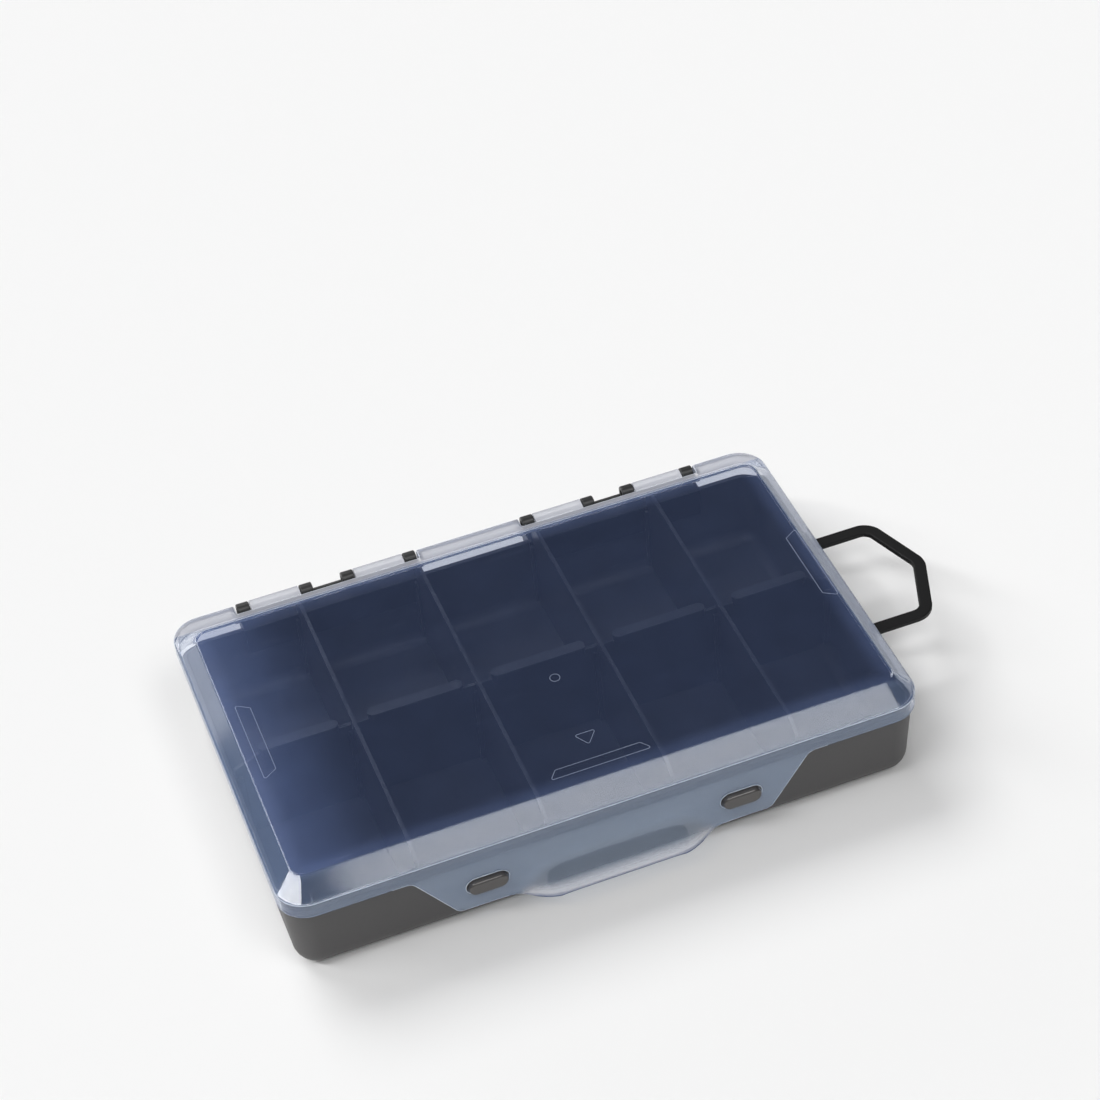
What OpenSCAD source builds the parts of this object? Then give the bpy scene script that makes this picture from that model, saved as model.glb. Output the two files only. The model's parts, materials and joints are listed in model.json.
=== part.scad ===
// Flat lure box: a drafted tray with a clear hinged lid, lift-out dividers,
// a springy latch flap over two studs and a folding loop on the right-hand end.
// Millimetres. X runs along the length, Y from front to back, Z up.
// The origin is on the underside, below the middle of the lid's rim.

/* [Box] */
// Length over the lid's rim
box_l = 275; // [255:1:300]
// Depth over the lid's rim, front to back
box_w = 175; // [165:1:190]
// Height of the closed box
box_h = 50.5; // [48.5:0.5:56]
// Height of the underside of the lid's rim
rim_z = 36.5; // [34.5:0.5:38.5]
// Radius of the rim's upright corners
corner_r = 13; // [12.5:0.5:16]

/* [Lid] */
// Thickness of the lid's moulding
lid_wall = 1.8; // [1.5:0.1:2.2]
// Height of the lid's upright rim
rim_h = 7.3; // [6.8:0.1:8.5]
// How far the top panel is set in at the two ends
slope_side = 8; // [6:0.5:10]
// How far the top panel is set in at the front
slope_front = 10.6; // [8:0.2:13]
// Run of the slope behind the top panel
slope_rear = 8; // [6:0.5:9]
// Depth of the flat shelf behind the rear slope
shelf_d = 8.5; // [8:0.1:9.5]
// Corner radius of the top panel
crown_r = 3; // [2:0.5:5]

/* [Base] */
// Wall thickness of the tray
base_wall = 2; // [1.6:0.1:2.4]
// Thickness of the tray's floor
floor_t = 2; // [1.6:0.1:3]
// Radius of the tray's bottom edge
foot_r = 8; // [6:0.5:8.5]
// How much each wall leans in from the rim down to the foot
draft = 1.5; // [1:0.1:2]
// How far the lid's rim stands out past the tray
overhang = 1.5; // [1.5:0.1:1.8]
// Height of the tray's upstand inside the lid's rim
upstand_h = 2.9; // [2.5:0.1:3.5]
// Gap between the lid's rim and the tray
rim_gap = 0.3; // [0.2:0.05:0.4]

/* [Hinge] */
// Distance from the middle of the box to the middle of each hinge
hinge_x = 65.8; // [62:0.2:72]
// Distance between the two lid barrels of one hinge
barrel_pitch = 47.6; // [46:0.2:50]
// Distance between the knuckles on the two sides of a barrel
knuckle_span = 28.7; // [26:0.1:32]
// Width of a tray knuckle
knuckle_w = 5.5; // [5:0.1:6.5]
// Radius of the knuckles and barrels
hinge_r = 3.1; // [2.9:0.05:3.2]
// Radius of the pegs that the lid turns on
peg_r = 1.5; // [1.2:0.05:1.7]
// Radial clearance of a peg in its knuckle
peg_gap = 0.08; // [0.06:0.01:0.1]
// Gap beside each knuckle
knuckle_gap = 0.4; // [0.3:0.05:0.5]
// Height of the hinge's axis over the underside of the rim
hinge_up = 5.1; // [4.9:0.1:5.3]
// Distance of the hinge's axis in from the rim's rear edge
hinge_in = 2; // [1.8:0.1:2.2]

/* [Latch flap] */
// Width of the flap where it leaves the rim
flap_top_w = 171; // [150:1:178]
// Width of the flap at its lower edge
flap_low_w = 136; // [130:1:148]
// Height of the flap below the rim
flap_h = 25.5; // [24:0.5:26.5]
// Thickness of the flap
flap_t = 1.2; // [0.9:0.1:1.2]
// Radius of the flap's lower corners
flap_r = 4; // [2:0.5:6]
// Distance from the middle of the box to each stud
stud_x = 54.9; // [54:0.2:57]
// Length of a stud
stud_l = 16.8; // [14:0.2:17.6]
// Height of a stud
stud_h = 7; // [6:0.2:8]
// How far a stud stands out of the flap
stud_proud = 2.4; // [1.5:0.1:3]
// Distance of the studs below the rim
stud_drop = 13.1; // [12:0.1:14]
// Gap between a stud and its slot in the flap
slot_gap = 0.7; // [0.5:0.1:0.9]
// Depth of the stud's seat in the tray's front wall
stud_seat = 0.8; // [0.6:0.1:1]

/* [Pull lip] */
// Width of the lip where it leaves the flap
lip_root_w = 86; // [78:1:88]
// Width of the lip's free edge
lip_edge_w = 60; // [50:1:66]
// Width of the lip at its upper crease
lip_top_w = 66; // [56:1:70]
// How far the lip reaches out in front of the flap
lip_reach = 8; // [6:0.5:10]
// Height of the lip
lip_h = 15; // [12:0.5:16]

/* [Dividers] */
// Number of columns of compartments
columns = 5; // [3:1:6]
// Thickness of a divider
divider_t = 1.6; // [1.2:0.1:2]
// Gap between a divider's side and its guide
divider_gap = 0.15; // [0.1:0.05:0.2]
// Width of a guide rib
guide_w = 1.4; // [1.2:0.1:2]
// How far a guide rib stands out
guide_out = 2; // [1.5:0.1:2.5]
// Gap between a divider and the lid over it
lid_clear = 0.4; // [0.3:0.1:0.8]
// Width of the rounded rail on a short divider
rail_w = 5; // [4:0.5:7]
// Height of that rail
rail_h = 4; // [3:0.5:6]
// Distance of the rail's ends from the long dividers
rail_in = 5.4; // [4.5:0.1:8]

/* [Loop] */
// Width over the loop's two arms
loop_w = 64; // [54:1:74]
// Reach of the loop from its pivot
loop_reach = 41.2; // [38:0.2:50]
// Length of the arms from the pivot to the sloping sides
arm_l = 30.2; // [26:0.2:32]
// Width of the flat across the loop's tip
tip_w = 4; // [3:0.5:8]
// Width of the loop's bar
bar_w = 4.6; // [4:0.1:5.2]
// Thickness of the loop's bar
bar_t = 2.5; // [2:0.1:3]
// Outer radius of the loop's bends
bend_r = 10; // [8:0.5:11]
// Distance of the pivot below the rim
pivot_drop = 6.5; // [6:0.1:8]
// Distance of the pivot out from the rim's edge
pivot_out = 1.3; // [1.1:0.1:2]
// Thickness of a lug beside an arm
lug_t = 3; // [2.4:0.1:4]
// Gap between an arm and a lug
lug_gap = 0.3; // [0.25:0.05:0.5]

/* [Hidden] */

TRAY = "#505052";
CLEAR = "#8CA5C8";
BLACK = "#232325";
STUD = "#6E6964";

lap = 1;                                    // overlap that fuses two shapes of one piece
rest_gap = 0.2;                             // between the rim and the tray's shoulder
rear_step = 0.5;                            // the tray's rear wall stands this far behind shelf_y
crease_z = rim_z + rim_h;                   // top of the rim, where the slopes start
shelf_y = box_w / 2 - shelf_d;              // rear end of the slope behind the top panel
crown_h = box_h - crease_z;

// The tray's outline at its shoulder and inside
base_x = box_l / 2 - overhang;
base_front = -box_w / 2 + overhang;
base_rear = shelf_y + rear_step;
base_r = corner_r - overhang;
shoulder_z = rim_z - rest_gap;
upstand_in = lid_wall + rim_gap;            // from the rim's outside to the upstand's
upstand_x = box_l / 2 - upstand_in;
upstand_front = -box_w / 2 + upstand_in;
upstand_z = rim_z + upstand_h;
upstand_rear = base_rear - upstand_in + overhang;
cavity_x = upstand_x - base_wall;
cavity_front = upstand_front + base_wall;
cavity_rear = upstand_rear - base_wall;
cavity_r = corner_r - upstand_in - base_wall;
cavity_foot = foot_r - floor_t;
cavity_top = upstand_z + lap;               // where the inside walls would stop leaning
mid_y = (cavity_front + cavity_rear) / 2;

// The hinge
hinge_y = box_w / 2 - hinge_in;
hinge_z = rim_z + hinge_up;
rear_wall_y = hinge_y - hinge_r - knuckle_gap;      // back of the lid's wall between the shelves
bracket_z = hinge_z - hinge_r - knuckle_gap;        // top of the tray's hinge bracket
bracket_deep = 14;                                  // height of the bracket at the tray's wall
bracket_edge = 4.5;                                 // height of the bracket's rear face
foot_half = hinge_r - 0.3;                          // half the depth of the foot under a knuckle
group_half = (barrel_pitch + knuckle_span + knuckle_w) / 2;
notch_half = group_half + 2 * knuckle_gap;
barrel_l = knuckle_span - knuckle_w - 2 * knuckle_gap;
peg_short = 0.5;                                    // a peg ends this far inside its knuckle's face

// The flap and its studs
flap_y = -box_w / 2;
flap_low = rim_z - flap_h;
stud_z = rim_z - stud_drop;
stud_edge = 1.2;                                    // size of the stud's front chamfer
seat_gap = 0.1;                                     // between a stud and the side of its seat
lip_low = flap_low - lap;

// The dividers
column_pitch = 2 * base_x / columns;
top_z = box_h - lid_wall - lid_clear;               // highest point of a divider
slope_clear = lid_wall + lid_clear;                 // from the lid's outside to a divider
end_gap = 0.2;                                      // between a divider's end and a wall
rail_z = top_z - rail_h;

// The loop
pivot_x = box_l / 2 + pivot_out;
pivot_z = rim_z - pivot_drop;
arm_y = (loop_w - bar_w) / 2;
eye_r = 2.4;                                        // radius of the round end of an arm
lug_r = 2.6;                                        // radius of a lug round its bore
lug_top = 0.3;                                      // the lug's flat top lies this far below its round
lug_deep = 9;                                       // how far a lug runs down the wall

// Angle of the crown's slope over the given run
function pitch(run) = atan2(crown_h, run);
// Vertical distance under that slope to a line at the square distance d
function under(run, d) = d / cos(pitch(run));
// Distance in from the crown's edge at which the flat part of a divider's top starts
function flat_top_inset(run) = run + (under(run, slope_clear) - slope_clear) * run / crown_h;
// How far the crown's inside is set in from the lid's edge at the top panel, for a skin of depth d
function in_at_top(run, d) = run + d * tan(pitch(run) / 2);
// Points of an arc round c from angle a0 to a1
function arc(c, r, a0, a1, n = 8) =
    [for (i = [0:n]) let (a = a0 + (a1 - a0) * i / n) c + r * [cos(a), sin(a)]];

module rounded(x0, y0, x1, y1, r) {
    for (x = [x0 + r, x1 - r], y = [y0 + r, y1 - r]) translate([x, y]) circle(r, $fn = 64);
    translate([x0 + r, y0]) square([x1 - x0 - 2 * r, y1 - y0]);
    translate([x0, y0 + r]) square([x1 - x0, y1 - y0 - 2 * r]);
}

// A slab with round upright corners
module slab(x, front, rear, r, z0, z1) {
    translate([0, 0, z0]) linear_extrude(z1 - z0) rounded(-x, front, x, rear, r);
}

// A tub whose walls lean in by the draft down to a round foot
module tub(x, front, rear, r, foot, z0, z1) {
    hull() for (sx = [-1, 1], y = [front + r, rear - r])
        translate([sx * (x - r), y, 0]) rotate_extrude($fn = 48)
            polygon(concat(
                [[0, z0]],
                arc([r - draft - foot, z0 + foot], foot, -90, 0),
                [[r, z1], [0, z1]]
            ));
}

// The lid's crown: sloping sides up to the flat top panel, set in by d all round
module crown(d) {
    low = crease_z - lid_wall;
    crease_drop = d * tan(45 - pitch(slope_front) / 2);
    hull() {
        slab(box_l / 2 - d, -box_w / 2 + d, shelf_y - d, corner_r - d, low - d, crease_z - crease_drop);
        slab(box_l / 2 - in_at_top(slope_side, d), -box_w / 2 + in_at_top(slope_front, d),
            shelf_y - in_at_top(slope_rear, d), crown_r, low, box_h - d);
    }
}

// An oblong standing upright in the XZ plane, from y0 forwards to y1
module oblong(l, h, y0, y1) {
    translate([0, y0, 0]) rotate([90, 0, 0]) linear_extrude(y0 - y1) {
        square([l - h, h], center = true);
        for (s = [-1, 1]) translate([s * (l - h) / 2, 0]) circle(h / 2, $fn = 48);
    }
}

// A bar along X, centred on x, from a profile drawn in the YZ plane
module along_x(x, l) {
    translate([x - l / 2, 0, 0]) rotate([90, 0, 90]) linear_extrude(l) children();
}

// A rod along X, centred on x, on the hinge's axis
module hinge_rod(x, r, l) {
    along_x(x, l) translate([hinge_y, hinge_z]) circle(r, $fn = 48);
}

module at_knuckles() {
    for (side = [-1, 1], b = [-1, 1], k = [-1, 1])
        translate([side * hinge_x + b * barrel_pitch / 2 + k * knuckle_span / 2, 0, 0]) children();
}

module at_barrels() {
    for (side = [-1, 1], b = [-1, 1])
        translate([side * hinge_x + b * barrel_pitch / 2, 0, 0]) children();
}

// Guide ribs that hold the ends of the dividers, drawn as tall pairs inside the tray
module guides() {
    half = divider_t / 2 + divider_gap;
    for (i = [1:columns - 1], s = [-1, 1])
        translate([-base_x + i * column_pitch + s * (half + guide_w / 2), 0, 0]) {
            for (end = [[cavity_front - lap, cavity_front + draft + guide_out],
                        [cavity_rear - draft - guide_out, cavity_rear + lap]])
                translate([-guide_w / 2, end[0], 0]) cube([guide_w, end[1] - end[0], shoulder_z]);
        }
    for (sx = [-1, 1], s = [-1, 1])
        translate([sx * (cavity_x + lap), mid_y + s * (half + guide_w / 2), 0])
            mirror([sx > 0 ? 1 : 0, 0, 0]) translate([0, -guide_w / 2, 0])
                cube([lap + draft + guide_out, guide_w, shoulder_z]);
}

module lug(y) {
    translate([0, y + lug_t / 2, 0]) rotate([90, 0, 0]) linear_extrude(lug_t) {
        translate([pivot_x, pivot_z]) circle(lug_r, $fn = 48);
        polygon([
            [base_x - draft - lap, pivot_z - lug_deep], [base_x - draft, pivot_z - lug_deep],
            [pivot_x + lug_r * cos(30), pivot_z - lug_r * sin(30)],
            [pivot_x, pivot_z + lug_r - lug_top], [base_x - draft - lap, pivot_z + lug_r - lug_top]
        ]);
    }
}

module base_tray() color(TRAY) difference() {
    union() {
        tub(base_x, base_front, base_rear, base_r, foot_r, 0, shoulder_z);
        slab(upstand_x, upstand_front, upstand_rear, corner_r - upstand_in, shoulder_z - lap, upstand_z);
        // hinge brackets with their knuckles
        for (side = [-1, 1]) along_x(side * hinge_x, 2 * group_half) polygon([
            [cavity_rear, bracket_z - bracket_deep], [base_rear - draft, bracket_z - bracket_deep],
            [hinge_y + foot_half, bracket_z - bracket_edge], [hinge_y + foot_half, bracket_z],
            [cavity_rear, bracket_z]
        ]);
        at_knuckles() {
            hinge_rod(0, hinge_r, knuckle_w);
            along_x(0, knuckle_w) translate([hinge_y - foot_half, bracket_z - lap])
                square([2 * foot_half, hinge_z - bracket_z + lap]);
        }
        // lugs on both sides of each loop arm
        for (s = [-1, 1], t = [-1, 1]) lug(s * arm_y + t * (bar_w / 2 + lug_gap + lug_t / 2));
    }
    difference() {
        tub(cavity_x, cavity_front, cavity_rear, cavity_r, cavity_foot, floor_t, cavity_top);
        guides();
    }
    at_knuckles() hinge_rod(0, peg_r + peg_gap, knuckle_w + 2 * lap);
    for (s = [-1, 1]) translate([pivot_x, s * arm_y, pivot_z]) rotate([90, 0, 0])
        cylinder(r = peg_r + peg_gap, h = bar_w + 2 * (lug_gap + lug_t + lap), center = true, $fn = 48);
    for (s = [-1, 1]) translate([s * stud_x, 0, stud_z])
        oblong(stud_l + 2 * seat_gap, stud_h + 2 * seat_gap, stud_back(), base_front - lap);
}

// The back of a stud, at the bottom of its seat in the leaning front wall
function stud_back() =
    base_front + draft * (shoulder_z - stud_z + stud_h / 2) / (shoulder_z - foot_r) + stud_seat;

module latch_stud(s) color(STUD) translate([s * stud_x, 0, stud_z]) hull() {
    oblong(stud_l, stud_h, stud_back(), flap_y - stud_proud + stud_edge);
    oblong(stud_l - 2 * stud_edge, stud_h - 2 * stud_edge, stud_back(), flap_y - stud_proud);
}

module lid() color(CLEAR, 0.55) {
    difference() {
        union() {
            slab(box_l / 2, -box_w / 2, box_w / 2, corner_r, rim_z, crease_z);
            crown(0);
        }
        slab(box_l / 2 - lid_wall, -box_w / 2 + lid_wall, box_w / 2 - lid_wall, corner_r - lid_wall,
            rim_z - lap, crease_z - lid_wall);
        crown(lid_wall);
        // notches that leave room for the knuckles
        for (side = [-1, 1]) translate([side * hinge_x - notch_half, rear_wall_y, rim_z - lap])
            cube([2 * notch_half, box_w, rim_h + 2 * lap]);
    }
    // the wall across each notch and the walls that close its ends
    for (side = [-1, 1]) {
        along_x(side * hinge_x, 2 * (notch_half + lid_wall))
            translate([rear_wall_y - lid_wall, bracket_z + knuckle_gap])
                square([lid_wall, crease_z - bracket_z - knuckle_gap]);
        for (e = [-1, 1]) along_x(side * hinge_x + e * (notch_half + lid_wall / 2), lid_wall)
            translate([rear_wall_y - lid_wall, rim_z])
                square([box_w / 2 - rear_wall_y + lid_wall / 2, rim_h]);
    }
    // barrels between the knuckles, with a peg at each end
    at_barrels() {
        hinge_rod(0, hinge_r, barrel_l);
        hinge_rod(0, peg_r, knuckle_span + knuckle_w - 2 * peg_short);
        along_x(0, barrel_l) translate([rear_wall_y - lid_wall / 2, hinge_z - lid_wall])
            square([hinge_y - rear_wall_y, 2 * lid_wall]);
    }
}

// Half of the flap's outline, from the rim down to the middle of its lower edge
module flap_half() {
    slant = atan2(flap_h, (flap_top_w - flap_low_w) / 2);
    corner = [flap_low_w / 2 - flap_r * tan(slant / 2), flap_low + flap_r];
    polygon(concat(
        [[0, rim_z], [flap_top_w / 2, rim_z]],
        arc(corner, flap_r, slant - 90, -90),
        [[0, flap_low]]
    ));
}

// The lip's outer shape, shifted in by d to hollow it
module lip_form(d) {
    thin = 0.01;                                        // the hull's corner plates are next to nothing
    hull() {
        translate([-lip_top_w / 2 + d, flap_y + d, lip_low + lip_h - thin])
            cube([lip_top_w - 2 * d, flap_t, thin]);
        translate([-lip_root_w / 2 + d, flap_y + d, lip_low - d])
            cube([lip_root_w - 2 * d, flap_t, lap]);
        translate([-lip_edge_w / 2 + d, flap_y - lip_reach + d, lip_low - d])
            cube([lip_edge_w - 2 * d, thin, lap]);
    }
}

module latch_flap() color(CLEAR, 0.55) difference() {
    union() {
        translate([0, flap_y + flap_t, 0]) rotate([90, 0, 0]) linear_extrude(flap_t) {
            flap_half();
            mirror([1, 0]) flap_half();
        }
        lip_form(0);
    }
    lip_form(flap_t);
    for (s = [-1, 1]) translate([s * stud_x, 0, stud_z])
        oblong(stud_l + 2 * slot_gap, stud_h + 2 * slot_gap, flap_y + flap_t + lap, flap_y - lap);
}

// A divider across the whole depth of the tray; its top follows the lid from the inside
module long_divider(i) {
    x = -base_x + i * column_pitch;
    front = cavity_front + end_gap;
    rear = cavity_rear - end_gap;
    front_top = -box_w / 2 + flat_top_inset(slope_front);
    rear_top = shelf_y - flat_top_inset(slope_rear);
    front_end = top_z - (front_top - front) * crown_h / slope_front;
    rear_end = top_z - (rear - rear_top) * crown_h / slope_rear;
    foot = cavity_foot;
    rib_y = (divider_t + guide_w) / 2 + divider_gap;
    rib_h = rail_z - floor_t - 2 * lap;
    color(TRAY) {
        along_x(x, divider_t) polygon(concat(
            arc([front + draft + foot, floor_t + foot], foot, 270, 180),
            [
                [front, cavity_top], [front, front_end], [front_top, top_z],
                [rear_top, top_z], [rear, rear_end], [rear, cavity_top]
            ],
            arc([rear - draft - foot, floor_t + foot], foot, 0, -90)
        ));
        // guides for the short dividers on both faces
        for (s = [-1, 1], e = [-1, 1])
            translate([x + e * (divider_t + guide_out) / 2, mid_y + s * rib_y, floor_t + rib_h / 2])
                cube([guide_out, guide_w, rib_h], center = true);
    }
}

// A divider between two long ones, or between a long one and the tray's end
module short_divider(i) {
    first = i == 0;
    last = i == columns - 1;
    wall = cavity_x - end_gap;
    panel = box_l / 2 - slope_side - slope_clear - rail_in;  // keeps the rail under the flat top panel
    between = divider_t / 2 + end_gap;
    x0 = first ? -wall : -base_x + i * column_pitch + between;
    x1 = last ? wall : -base_x + (i + 1) * column_pitch - between;
    rail_x0 = first ? -panel : x0 + rail_in;
    rail_x1 = last ? panel : x1 - rail_in;
    foot = cavity_foot;
    shelf = rail_z + lap;
    color(TRAY) {
        translate([0, mid_y + divider_t / 2, 0]) rotate([90, 0, 0]) linear_extrude(divider_t)
            polygon(concat(
                first ? arc([x0 + draft + foot, floor_t + foot], foot, 270, 180) : [[x0, floor_t]],
                first ? [[x0, cavity_top], [rail_x0, shelf]] : [[x0, shelf]],
                last ? [[rail_x1, shelf], [x1, cavity_top]] : [[x1, shelf]],
                last ? arc([x1 - draft - foot, floor_t + foot], foot, 0, -90) : [[x1, floor_t]]
            ));
        translate([0, mid_y, rail_z]) linear_extrude(rail_h) {
            ends = [rail_x0 + rail_w / 2, rail_x1 - rail_w / 2];
            translate([ends[0], -rail_w / 2]) square([ends[1] - ends[0], rail_w]);
            for (x = ends) translate([x, 0]) circle(rail_w / 2, $fn = 48);
        }
    }
}

// The loop's outline, d inside its outer edge: two arms, two slopes and a blunt tip
module loop_outline(d) {
    r = bend_r - d;
    half = loop_w / 2 - d;
    run = loop_reach - arm_l;
    lean = atan2(loop_w / 2 - tip_w / 2, run);             // angle of the sloping side
    bend = [arm_l - bend_r * tan(lean / 2), loop_w / 2 - bend_r];
    tip = [loop_reach - bend_r, max(0, tip_w / 2 - bend_r * tan((90 - lean) / 2))];
    far = arc(bend, r, 90, 90 - lean);
    nose = arc(tip, r, 90 - lean, 0);
    pts = concat([[0, half]], far, nose);
    polygon(concat(pts, [for (i = [len(pts) - 1:-1:0]) [pts[i][0], -pts[i][1]]]));
}

module carry_loop() color(BLACK) {
    translate([pivot_x, 0, pivot_z - bar_t / 2]) linear_extrude(bar_t) difference() {
        loop_outline(0);
        loop_outline(bar_w);
        translate([-lap, -loop_w / 2 + bar_w]) square([2 * lap, loop_w - 2 * bar_w]);
    }
    for (s = [-1, 1]) translate([pivot_x, s * arm_y, pivot_z]) rotate([90, 0, 0]) {
        cylinder(r = eye_r, h = bar_w, center = true, $fn = 48);
        cylinder(r = peg_r, h = bar_w + 2 * lug_t, center = true, $fn = 48);
    }
}

base_tray();
latch_stud(-1);  // latch_stud_left
latch_stud(1);  // latch_stud_right
lid();
latch_flap();
long_divider(1);  // long_divider_1
long_divider(2);  // long_divider_2
long_divider(3);  // long_divider_3
long_divider(4);  // long_divider_4
short_divider(0);  // short_divider_1
short_divider(1);  // short_divider_2
short_divider(2);  // short_divider_3
short_divider(3);  // short_divider_4
short_divider(4);  // short_divider_5
carry_loop();
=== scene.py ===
"""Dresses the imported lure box: clear lid and flap, moulded tray, studs, dividers and folding loop.

Every length is in metres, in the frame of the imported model: X along the box towards the loop,
Y from front to back, Z up, origin on the underside below the middle of the lid's rim.
"""

import json
import math

import bmesh
import bpy
import numpy as np
from bpy.props import FloatProperty, FloatVectorProperty, IntProperty, PointerProperty
from bpy.types import Operator, Panel, PropertyGroup
from mathutils import Matrix, Vector


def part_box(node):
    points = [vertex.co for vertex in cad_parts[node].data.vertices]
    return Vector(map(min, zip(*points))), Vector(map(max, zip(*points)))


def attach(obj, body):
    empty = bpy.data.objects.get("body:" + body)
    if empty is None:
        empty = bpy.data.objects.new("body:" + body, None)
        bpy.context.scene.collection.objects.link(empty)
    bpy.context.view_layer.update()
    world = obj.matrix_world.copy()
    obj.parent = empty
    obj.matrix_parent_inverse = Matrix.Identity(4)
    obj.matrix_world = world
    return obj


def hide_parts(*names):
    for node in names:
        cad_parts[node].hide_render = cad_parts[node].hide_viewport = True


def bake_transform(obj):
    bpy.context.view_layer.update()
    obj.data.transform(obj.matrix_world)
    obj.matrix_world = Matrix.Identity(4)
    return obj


bl_info = {
    "name": "Hinged lure box",
    "version": (1, 0, 0),
    "blender": (4, 5, 0),
    "location": "3D View > Sidebar > Lure Box",
    "description": "Builds a clear-lidded lure box piece by piece over its packed frame",
    "category": "Object",
}

MM = 0.001
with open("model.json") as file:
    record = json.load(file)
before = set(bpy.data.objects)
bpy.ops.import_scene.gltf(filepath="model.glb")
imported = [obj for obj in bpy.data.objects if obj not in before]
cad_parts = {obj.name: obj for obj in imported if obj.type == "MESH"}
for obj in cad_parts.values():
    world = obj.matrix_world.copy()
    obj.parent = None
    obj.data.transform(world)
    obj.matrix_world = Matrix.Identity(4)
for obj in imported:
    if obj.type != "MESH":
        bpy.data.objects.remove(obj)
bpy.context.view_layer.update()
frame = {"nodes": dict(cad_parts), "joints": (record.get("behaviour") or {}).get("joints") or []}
LID_LOW, LID_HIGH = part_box("lid")
FLAP_LOW, FLAP_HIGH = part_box("latch_flap")
STUD_LOW, STUD_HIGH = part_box("latch_stud_right")
RAIL_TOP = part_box("short_divider_3")[1].z
HINGE_Y, HINGE_Z = next(j["pos_m"] for j in frame["joints"] if j["name"] == "lid_hinge")[1:]
LOOP_PIVOT = next(j["pos_m"] for j in frame["joints"] if j["name"] == "loop_pivot")


# ---------------------------------------------------------------- sizes and colours


def length(name, description, default):
    """A length in metres."""
    return FloatProperty(
        name=name, description=description, default=default, min=0, unit="LENGTH", precision=5
    )


def colour(name, description, *default):
    """An opaque colour from its red, green and blue."""
    return FloatVectorProperty(
        name=name, description=description, default=(*default, 1), size=4, min=0, max=1, subtype="COLOR"
    )


class LidSizes(PropertyGroup):
    length: length("Length", "Over the lid's rim, left to right", LID_HIGH.x - LID_LOW.x)
    depth: length("Depth", "Over the lid's rim, front to back", 2 * -FLAP_HIGH.y + 2 * 1.2 * MM)
    top_z: length("Top", "Height of the top panel", LID_HIGH.z)
    rim_z: length("Rim underside", "Height of the underside of the rim", FLAP_HIGH.z)
    rim_h: length("Rim height", "Height of the upright rim", 7.35 * MM)
    corner: length("Corner radius", "Radius of the rim's upright corners", 13 * MM)
    crown_corner: length("Panel corner radius", "Radius of the top panel's corners", 5.5 * MM)
    wall: length("Wall", "Thickness of the moulding", 1.8 * MM)
    slope_side: length("End slope", "Run of the slope at the two ends", 8 * MM)
    slope_front: length("Front slope", "Run of the slope at the front", 10.6 * MM)
    slope_rear: length("Rear slope", "Run of the slope at the rear", 8 * MM)
    shelf: length("Rear shelf", "Depth of the flat shelf behind the rear slope", 8.5 * MM)
    crease: length("Crease radius", "Rounding of the rim's top edge", 1.1 * MM)
    edge: length("Panel edge radius", "Rounding of the top panel's edge", 1.2 * MM)
    notch_x: length("Notch place", "Middle of each hinge's notch, from the middle of the box", 65.8 * MM)
    notch_half: length("Notch half width", "Half the width of a hinge's notch", 41.7 * MM)
    notch_deep: length("Notch depth", "How far a notch goes into the rim", 5.5 * MM)
    notch_lift: length("Notch lift", "Height of the wall's edge over the rim's in a notch", 2 * MM)


class HingeSizes(PropertyGroup):
    place: length("Hinge place", "From the middle of the box to the middle of a hinge", 65.8 * MM)
    pitch: length("Barrel pitch", "Between the two barrels of a hinge", 47.6 * MM)
    span: length("Knuckle span", "Between the knuckles beside a barrel", 28.7 * MM)
    knuckle: length("Knuckle width", "Width of a knuckle", 5.5 * MM)
    radius: length("Barrel radius", "Radius of knuckles and barrels", 3.1 * MM)
    bore: length("Bore radius", "Radius of a knuckle's bore", 1.58 * MM)
    gap: length("Side gap", "Between a barrel and a knuckle", 0.4 * MM)


class TraySizes(PropertyGroup):
    half: length("Half length", "Half the tray's length at its shoulder", 136 * MM)
    front: length("Front", "Place of the front wall's shoulder", 86 * MM)
    rear: length("Rear", "Place of the rear wall's shoulder", 79.5 * MM)
    shoulder_z: length("Shoulder", "Height of the shoulder under the rim", 36.3 * MM)
    corner: length("Corner radius", "Radius of the upright corners", 11.5 * MM)
    foot: length("Foot radius", "Radius of the bottom edge outside", 10.5 * MM)
    bowl: length("Bowl radius", "Radius of the compartments' bottom edge", 6 * MM)
    draft: length("Draft", "How much the walls lean in on their way down", 1.5 * MM)
    step: length("Upstand step", "From the shoulder's edge to the upstand", 0.6 * MM)
    upstand_z: length("Upstand", "Height of the upstand's top", 39.4 * MM)
    wall: length("Wall", "Thickness of the walls", 2 * MM)
    floor: length("Floor", "Thickness of the floor", 2 * MM)


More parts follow.
